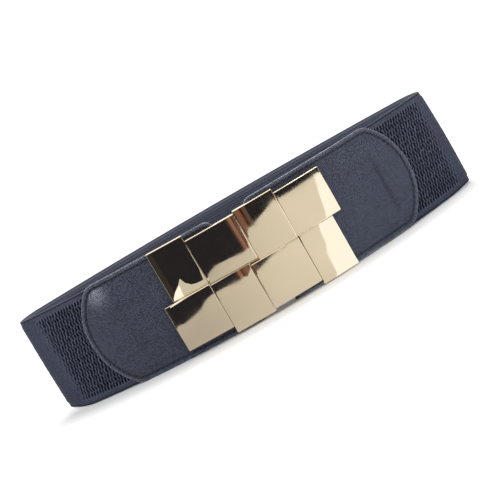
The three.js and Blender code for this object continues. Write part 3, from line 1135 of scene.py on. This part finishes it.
@dataclass
class BuckleHalf:
    """One casting of the buckle: four mirror tiles, the plate behind them and four headed posts. In mm."""

    plan: BeltPlan
    side: Side
    row_line: float = 31.6
    column_line: float = 26.3
    seam: float = 2.8
    narrow_end: float = 48.2
    wide_end: float = 53.8
    tall: float = 30.2
    short: float = 27.2
    gap: float = 0.02
    joint_gap: float = 0.05
    thickness: float = 2.8
    bevel: float = 0.5
    plate_bevel: float = 0.15
    head_bevel: float = 0.35
    bevel_steps: int = 3
    bevel_angle: float = 40.0
    smooth_angle: float = 32.0
    bar_sides: int = 32
    plate: float = 1.4
    plate_inset: float = 2.5
    overlap: float = 0.3
    clearance: float = 0.3
    post_radius: float = 1.5
    head_radius: float = 3.4
    head_thickness: float = 1.1
    post_columns: tuple[float, ...] = (16.5, 39.0)
    post_rows: tuple[float, ...] = (15.0, 48.0)
    step_angle: float = 0.35

    def tiles(self) -> list[Tile]:
        """List this casting's tiles."""
        # Row, start, end, height, lean, yaw, rise and shift of each.
        left = [
            Tile(1, -self.narrow_end, -self.column_line, self.tall, -1.6, -2.0, -1.0, 1.1),
            Tile(1, -self.column_line, self.seam, self.short, -1.1, -2.0, 0.0, 0.5),
            Tile(-1, -self.wide_end, -self.column_line, self.short, 1.1, 2.0, 0.5, 1.0),
            Tile(-1, -self.column_line, -self.seam, self.tall, 1.1, 2.0, -0.1, 0.2),
        ]
        if self.side is Side.LEFT:
            return left
        # Lean, rise and shift of the same tiles on the right casting.
        there = ((1.5, -0.1, -0.7), (1.5, 0.5, -1.2), (-2.2, 0.2, -0.7), (-2.2, 0.2, -1.2))
        return [tile.turned(*values) for tile, values in zip(left, there)]

    def curved_plate(self, start: float, end: float, bottom: float, top: float, back: float,
                     face: float) -> Piece:
        """Spin an upright rectangle round the front arc's centre into a plate that follows the belt.

        Args:
            start: Length along the loop where the plate starts.
            end: Where it ends.
            bottom: Height of its bottom edge.
            top: Height of its top edge.
            back: Depth of its back.
            face: Depth of its face.

        Returns:
            The plate, with sharp edges.
        """
        front = self.plan.front
        first, last = start / front.radius, end / front.radius
        centre = Vector((0, front.centre + self.plan.origin_y, 0)) * MM
        radius = (front.radius + (back + face) / 2) * MM
        outward = Vector((math.sin(first), -math.cos(first), 0))
        deselect()
        bpy.ops.mesh.primitive_plane_add(size=1)
        piece = bpy.context.object
        turn = Matrix((outward, Vector((0, 0, 1)), outward.cross(Vector((0, 0, 1))))).transposed().to_4x4()
        size = Matrix.Diagonal(((face - back) * MM, (top - bottom) * MM, 1, 1))
        place = Matrix.Translation(centre + outward * radius + Vector((0, 0, (bottom + top) / 2 * MM)))
        piece.matrix_world = place @ turn @ size
        bpy.ops.object.transform_apply(location=True, rotation=True, scale=True)
        bpy.ops.object.mode_set(mode="EDIT")
        bpy.ops.mesh.select_all(action="SELECT")
        steps = max(2, math.ceil(math.degrees(last - first) / self.step_angle))
        bpy.ops.mesh.spin(steps=steps, angle=last - first, center=centre, axis=(0, 0, -1))
        bpy.ops.mesh.select_all(action="SELECT")
        bpy.ops.mesh.remove_doubles(threshold=1e-6)
        bpy.ops.mesh.normals_make_consistent(inside=False)
        bpy.ops.object.mode_set(mode="OBJECT")
        return piece

    def bevelled(self, piece: Piece, width: float, segments: int) -> Piece:
        """Round a piece's sharp edges by a width in mm."""
        make_active(piece)
        modifier = piece.modifiers.new("edges", "BEVEL")
        modifier.width, modifier.segments, modifier.limit_method = width * MM, segments, "ANGLE"
        modifier.angle_limit = math.radians(self.bevel_angle)
        bpy.ops.object.modifier_apply(modifier=modifier.name)
        return piece

    def make_tile(self, tile: Tile) -> Piece:
        """Make one tile and lean it back about its middle."""
        plan = self.plan
        back = plan.leather_face + self.clearance + self.plate - self.overlap
        row_line = self.row_line + tile.shift
        edge, line = row_line + tile.row * tile.height, row_line + tile.row * self.gap
        gaps = [self.joint_gap if abs(end) == self.seam else self.gap for end in (tile.start, tile.end)]
        start, end = plan.closure_shift + tile.start + gaps[0], plan.closure_shift + tile.end - gaps[1]
        face = back + self.thickness + tile.rise
        piece = self.curved_plate(start, end, min(edge, line), max(edge, line), back, face)
        self.bevelled(piece, self.bevel, self.bevel_steps)
        middle = plan.place((start + end) / 2, back, (edge + line) / 2)
        heading = (start + end) / 2 / plan.front.radius
        self.turn(piece, middle, heading, "X", -tile.lean)
        self.turn(piece, middle, heading, "Z", tile.yaw)
        return piece

    @staticmethod
    def turn(piece: Piece, middle: Vector, heading: float, axis: str, angle: float) -> None:
        """Turn a tile a little about its own middle.

        Args:
            piece: The tile.
            middle: The point that stays.
            heading: The tile's direction round the arc.
            axis: The tile's own axis, X along it or Z up it.
            angle: How far it turns, in degrees.
        """
        make_active(piece)
        bpy.ops.object.mode_set(mode="EDIT")
        bpy.ops.mesh.select_all(action="SELECT")
        # With no window this operator turns the other way, so the angle is negated.
        bpy.ops.transform.rotate(
            value=-math.radians(angle), orient_axis=axis, orient_matrix=Matrix.Rotation(heading, 3, "Z"),
            orient_matrix_type="GLOBAL", center_override=middle)
        bpy.ops.object.mode_set(mode="OBJECT")

    def bar(self, distance: float, z: float, radius: float, back: float, face: float) -> Piece:
        """Make a round bar square to the belt between two depths."""
        deselect()
        middle = self.plan.place(distance, (back + face) / 2, z)
        heading = distance / self.plan.front.radius
        outward = Vector((math.sin(heading), -math.cos(heading), 0))
        bpy.ops.mesh.primitive_cylinder_add(
            vertices=self.bar_sides, radius=radius * MM, depth=(face - back) * MM, location=middle,
            rotation=Vector((0, 0, 1)).rotation_difference(outward).to_euler())
        bpy.ops.object.transform_apply(location=True, rotation=True, scale=True)
        return bpy.context.object

    def build(self, gold: Material) -> Piece:
        """Make the casting as one solid.

        Args:
            gold: The plating's material.

        Returns:
            The finished piece.
        """
        plan, side = self.plan, self.side.value
        plate_back = plan.leather_face + self.clearance
        reaches = (self.seam + self.plate_inset, self.narrow_end - self.plate_inset)
        start, end = sorted(plan.closure_shift + side * reach for reach in reaches)
        half = self.short - self.plate_inset
        whole = self.bevelled(self.curved_plate(
            start, end, self.row_line - half, self.row_line + half, plate_back, plate_back + self.plate),
            self.plate_bevel, 1)
        parts = [self.make_tile(tile) for tile in self.tiles()]
        head_face = -plan.webbing_half - self.clearance
        for column in self.post_columns:
            for row in self.post_rows:
                distance = plan.closure_shift + side * column
                parts.append(self.bar(distance, row, self.post_radius, head_face - self.head_thickness / 2,
                                      plate_back + self.plate / 2))
                head = self.bar(distance, row, self.head_radius, head_face - self.head_thickness, head_face)
                parts.append(self.bevelled(head, self.head_bevel, self.bevel_steps))
        for part in parts:
            make_active(whole)
            joint = whole.modifiers.new("cast", "BOOLEAN")
            joint.operation, joint.solver, joint.object = "UNION", "EXACT", part
            bpy.ops.object.modifier_apply(modifier=joint.name)
            bpy.data.objects.remove(part)
        make_active(whole)
        bpy.ops.object.shade_smooth_by_angle(angle=math.radians(self.smooth_angle))
        even = whole.modifiers.new("even", "WEIGHTED_NORMAL")
        even.keep_sharp, even.weight = True, 100
        bpy.ops.object.modifier_apply(modifier=even.name)
        whole.name = f"buckle_{self.side.name.lower()}_plated"
        hand_over(whole, "gold_plate", gold)
        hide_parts(f"buckle_half_{self.side.name.lower()}")
        return whole


@dataclass(frozen=True)
class Post:
    """An upright stripe of the dim room, by its directions from the belt in degrees."""

    start: float
    end: float
    colour: str


@dataclass
class Studio:
    """The white table, the soft lights, the dim room that the tiles mirror, and the camera. In mm."""

    distance: float = 600.0
    elevation: float = 8.53
    focal_px: float = 1031.5
    frame_px: float = 500.0
    sensor_width: float = 36.0
    clip: Pair = (10.0, 50000.0)
    roll: float = 30.12
    aim: tuple[float, float, float] = (2.9, 9.3, 30.3)
    side_step: float = 3.3
    pivot_height: float = 31.3
    table_size: float = 60000.0
    world_strength: float = 1.19
    lamp_place: tuple[float, float, float] = (100.0, 200.0, 850.0)
    lamp_aim: tuple[float, float, float] = (0.0, 0.0, 30.0)
    lamp_size: Pair = (500.0, 350.0)
    lamp_power: float = 4.0
    eye: Pair = (0.0, -37.0)
    room_height: float = 100.0
    room_foot: tuple[Pair, ...] = (
        (-80.0, 165.0), (-41.0, 166.0), (-38.5, 159.0), (-33.0, 165.0), (-27.0, 177.0), (-22.0, 203.0),
        (-18.0, 213.0), (-12.0, 208.0), (-5.5, 199.0), (-2.0, 208.0), (-0.8, 200.0), (2.0, 232.0),
        (5.0, 231.0), (11.5, 262.0), (16.5, 290.0), (18.0, 279.0), (24.0, 284.0), (35.0, 312.0),
        (60.0, 330.0))
    strips_per_degree: float = 2.0
    dark: Post = Post(-80.0, 60.0, "#2a2a33")
    side: Post = Post(75.0, 125.0, "#4a2f24")
    post_nearer: float = 3.0
    posts: tuple[Post, ...] = (
        Post(-50.0, -43.0, "#3d3b3a"),
        Post(-4.6, -3.7, "#58443f"),
        Post(-3.7, -2.2, "#9f786d"),
        Post(-2.2, -1.5, "#4c3329"),
        Post(-1.5, -0.3, "#7a5c50"),
        Post(-0.3, 2.4, "#8a665c"),
        Post(2.4, 3.6, "#452d22"),
        Post(3.6, 5.3, "#6a5753"),
    )
    sheen: tuple[float, ...] = (-900.0, 900.0, -500.0, -28.0, 0.6)
    ceiling: tuple[float, ...] = (-350.0, 150.0, -250.0, 350.0, 800.0)
    flag: tuple[float, ...] = (-16.0, 20.0, -36.0, -20.0, 14.0)
    bright_height: float = 0.9
    bright: tuple[Pair, ...] = (
        (30.0, -28.0), (41.0, -45.0), (77.0, -122.0), (104.0, -168.0), (135.0, -230.0), (175.0, -300.0),
        (600.0, -300.0), (600.0, -28.0))
    wedge_y: float = -44.0
    core_nearer: float = 0.2
    wedge: tuple[Pair, ...] = (
        (-41.5, 40.9), (-40.0, 37.5), (-36.8, 35.0), (-33.6, 34.5), (-28.9, 34.4), (-24.8, 34.6),
        (-26.9, 32.6), (-33.6, 31.6), (-43.4, 31.0), (-53.9, 30.3), (-48.6, 35.2), (-44.6, 37.9))
    wedge_core: tuple[Pair, ...] = (
        (-44.1, 37.9), (-44.0, 36.2), (-44.8, 32.7), (-45.0, 31.0), (-53.9, 30.3), (-49.0, 34.8))

    def camera(self) -> Piece:
        """Put the camera where the photograph was taken from, turned about its line of sight."""
        data = bpy.data.cameras.new("camera")
        data.sensor_width = self.sensor_width
        data.lens = self.focal_px / self.frame_px * data.sensor_width
        data.clip_start, data.clip_end = (reach * MM for reach in self.clip)
        camera = bpy.data.objects.new("camera", data)
        bpy.context.scene.collection.objects.link(camera)
        tilt = math.radians(self.elevation)
        aim = Vector(self.aim)
        place = Vector((self.side_step, self.aim[1] - self.distance * math.cos(tilt),
                        self.pivot_height + self.distance * math.sin(tilt)))
        look = (aim - place).to_track_quat("-Z", "Y").to_matrix().to_4x4()
        turn = Matrix.Rotation(math.radians(-self.roll), 4, "Z")
        camera.matrix_world = Matrix.Translation(place * MM) @ look @ turn
        bpy.context.scene.camera = camera
        return camera

    def table(self) -> None:
        """Lay the white table top."""
        deselect()
        bpy.ops.mesh.primitive_plane_add(size=self.table_size * MM, location=(0, 0, 0))
        table = bpy.context.object
        table.name = "table_top"
        table.data.materials.append(FloorPaint().material())

    def room_distance(self, heading: float) -> float:
        """Give how far the room's foot is in a direction in degrees."""
        for (a, near), (b, far) in zip(self.room_foot, self.room_foot[1:]):
            if heading <= b:
                return near + (far - near) * max(0.0, heading - a) / (b - a)
        return self.room_foot[-1][1]

    @staticmethod
    def level(left: float, right: float, front: float, back: float, height: float) -> list[tuple]:
        """List the corners of a level card."""
        return [(left, front, height), (right, front, height), (right, back, height), (left, back, height)]

    def card(self, name: str, points: list, material: Material, faces: list | None = None) -> None:
        """Stand a card in the room that shows in reflections alone.

        Args:
            name: The card's name.
            points: Its corners.
            material: What it shows.
            faces: Its faces, or none for a single one.
        """
        card = mesh_piece(name, [Vector(p) * MM for p in points], faces or [tuple(range(len(points)))])
        card.data.materials.append(material)
        card.visible_camera = card.visible_diffuse = card.visible_shadow = False
        card.visible_transmission = card.visible_volume_scatter = False

    def room_wall(self, name: str, stripe: Post, nearer: float) -> None:
        """Curve an upright card round the front of the table between two directions.

        Args:
            name: The card's name.
            stripe: Its directions and its colour.
            nearer: How much nearer than the room's foot it stands.
        """
        start, end = stripe.start, stripe.end
        count = math.ceil(self.strips_per_degree * (end - start))
        points = []
        for i in range(count + 1):
            heading = start + (end - start) * i / count
            reach = self.room_distance(heading) - nearer
            x = self.eye[0] + reach * math.sin(math.radians(heading))
            y = self.eye[1] - reach * math.cos(math.radians(heading))
            points += [(x, y, 0.0), (x, y, self.room_height)]
        faces = [(2 * i, 2 * i + 2, 2 * i + 3, 2 * i + 1) for i in range(count)]
        self.card(name, points, PlainCard(name, stripe.colour).material(), faces)

    def reflections(self) -> None:
        """Set up what the tiles mirror: the table's sheen, a dim room beyond it and bright patches."""
        self.card("table_sheen", self.level(*self.sheen), TableSheen().material())
        glow = PlainCard("glow_white", "#e6edf8", 1.7).material()
        self.card("table_glow_right", [(x, y, self.bright_height) for x, y in self.bright], glow)
        above = PlainCard("glow_ceiling", "#ffffff", 2.4).material()
        self.card("ceiling_glow", self.level(*self.ceiling), above)
        for name, outline, nearer, material in (
                ("lamp_rim", self.wedge, 0.0, PlainCard("glow_cream", "#e6e7e8").material()),
                ("lamp_core", self.wedge_core, self.core_nearer, glow)):
            self.card(name, [(x, self.wedge_y + nearer, z) for x, z in outline], material)
        self.shade()
        self.room_wall("room_dark", self.dark, 0.0)
        self.room_wall("room_side", self.side, 0.0)
        for number, post in enumerate(self.posts, 1):
            self.room_wall(f"room_post_{number}", post, self.post_nearer)

    def shade(self) -> None:
        """Lay a black card inside the loop, out of sight, that keeps light off the floor by the buckle."""
        card = mesh_piece("flag_black", [Vector(p) * MM for p in self.level(*self.flag)], [(0, 1, 2, 3)])
        card.data.materials.append(PlainCard("card_black", "#000000").material())
        card.visible_camera = card.visible_glossy = False

    def lights(self) -> None:
        """Light the table from an even white surround and one soft light overhead."""
        scene = bpy.context.scene
        world = bpy.data.worlds.new("white_surround")
        world.use_nodes = True
        background = world.node_tree.nodes["Background"].inputs
        background["Color"].default_value = linear("#ffffff")
        background["Strength"].default_value = self.world_strength
        scene.world = world
        data = bpy.data.lights.new("overhead", "AREA")
        data.shape, data.energy = "RECTANGLE", self.lamp_power
        data.size, data.size_y = (size * MM for size in self.lamp_size)
        lamp = bpy.data.objects.new("overhead", data)
        scene.collection.objects.link(lamp)
        lamp.location = Vector(self.lamp_place) * MM
        lamp.rotation_euler = (Vector(self.lamp_aim) * MM - lamp.location).to_track_quat("-Z", "Y").to_euler()
        lamp.visible_camera = False

    def build(self) -> None:
        """Set the whole stage."""
        scene = bpy.context.scene
        scene.view_settings.view_transform = "Standard"
        self.camera()
        self.table()
        self.lights()
        self.reflections()


def dress_hook(gold: Material) -> None:
    """Plate the hidden catch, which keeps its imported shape."""
    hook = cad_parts["clasp_hook"]
    hook.data.materials.clear()
    hook.data.materials.append(gold)
    log.info("clasp_hook: dressed")


def main() -> None:
    """Build the stage and the belt, piece by piece."""
    logging.basicConfig(level=logging.INFO, format="%(name)s: %(message)s")
    Studio().build()
    plan = BeltPlan()
    leather, thread = PebbledLeather().material(), BondedThread().material()
    gold = GoldPlating().material()
    webbing = Webbing(plan)
    webbing.build(StretchWebbing().material(), WebbingLining().material())
    for panel in (
            LeatherPanel(plan, webbing, Side.LEFT, length=94.7, crease=68.0, crease_depth=0.12, swell=0.8),
            LeatherPanel(plan, webbing, Side.RIGHT, length=95.5, crease=75.4, crease_depth=0.45, foot=0.7)):
        seam = panel.stitches(thread)
        panel.declare(panel.build(leather), seam)
    for side in Side:
        BuckleHalf(plan, side).build(gold)
    dress_hook(gold)


if __name__ == "__main__":
    main()
